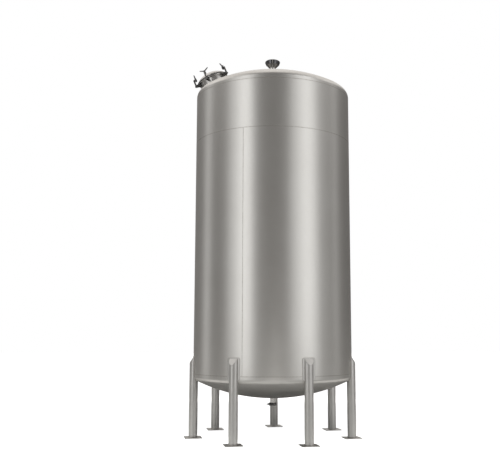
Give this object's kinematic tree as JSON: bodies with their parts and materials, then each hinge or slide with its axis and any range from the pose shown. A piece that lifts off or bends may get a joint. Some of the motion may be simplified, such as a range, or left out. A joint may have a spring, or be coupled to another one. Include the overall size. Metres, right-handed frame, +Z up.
{
  "type": "vertical storage tank",
  "caption": "Vertical stainless steel storage tank with dished ends on pipe legs, with a hinged roof manway, a vent and a bottom outlet.",
  "frame": {"origin": "on the floor under the tank's axis", "axes": "+Z up along the tank's axis, -Y is the front, -X is the manway's side"},
  "size_m": [2.6016, 2.6016, 5.884],
  "materials": {
    "steel": "cold rolled, satin",
    "dark_steel": "dull, darkened",
    "polished_steel": "polished",
    "rubber": "matte"
  },
  "bodies": {
    "tank": {"bottom_head": "steel", "clamp_bracket_1": "dark_steel", "clamp_bracket_2": "dark_steel", "clamp_bracket_3": "dark_steel", "foot_plate_1": "steel", "foot_plate_2": "steel", "foot_plate_3": "steel", "foot_plate_4": "steel", "foot_plate_5": "steel", "foot_plate_6": "steel", "foot_plate_7": "steel", "hinge_bracket": "dark_steel", "hinge_pin": "dark_steel", "leg_1": "steel", "leg_2": "steel", "leg_3": "steel", "leg_4": "steel", "leg_5": "steel", "leg_6": "steel", "leg_7": "steel", "leg_pad_1": "steel", "leg_pad_2": "steel", "leg_pad_3": "steel", "leg_pad_4": "steel", "leg_pad_5": "steel", "leg_pad_6": "steel", "leg_pad_7": "steel", "manway_neck": "steel", "manway_rim": "steel", "outlet_cap": "steel", "outlet_clamp": "dark_steel", "outlet_nozzle": "steel", "shell_sheet_1": "steel", "shell_sheet_2": "steel", "shell_sheet_3": "steel", "shell_sheet_4": "steel", "shell_upper_course": "steel", "top_head": "steel", "vent_cap": "polished_steel", "vent_cone": "steel", "vent_nozzle": "steel"},
    "lid": {"manway_lid": "steel", "manway_gasket": "rubber", "hinge_arm": "dark_steel"},
    "clamp_1": {"clamp_yoke_1": "dark_steel", "wing_screw_1": "dark_steel"},
    "clamp_2": {"clamp_yoke_2": "dark_steel", "wing_screw_2": "dark_steel"},
    "clamp_3": {"clamp_yoke_3": "dark_steel", "wing_screw_3": "dark_steel"}
  },
  "joints": [
    {"name": "lid_hinge", "type": "hinge", "parent": "tank", "child": "lid", "pos_m": [-0.85313, 0.35768, 5.60821], "axis": [-0.8487, 0.3906, -0.3566], "range_deg": [0, 100]},
    {"name": "clamp_1_swing", "type": "hinge", "parent": "tank", "child": "clamp_1", "pos_m": [-0.74223, -0.12741, 5.60855], "axis": [0.6653, 0.7066, 0.241], "range_deg": [-17, 95]},
    {"name": "clamp_2_swing", "type": "hinge", "parent": "tank", "child": "clamp_2", "pos_m": [-1.05472, -0.19262, 5.48519], "axis": [0.8487, -0.3906, 0.3566], "range_deg": [-17, 95]},
    {"name": "clamp_3_swing", "type": "hinge", "parent": "tank", "child": "clamp_3", "pos_m": [-1.21529, 0.00975, 5.41282], "axis": [0.2272, -0.9654, 0.1283], "range_deg": [-17, 95]}
  ]
}
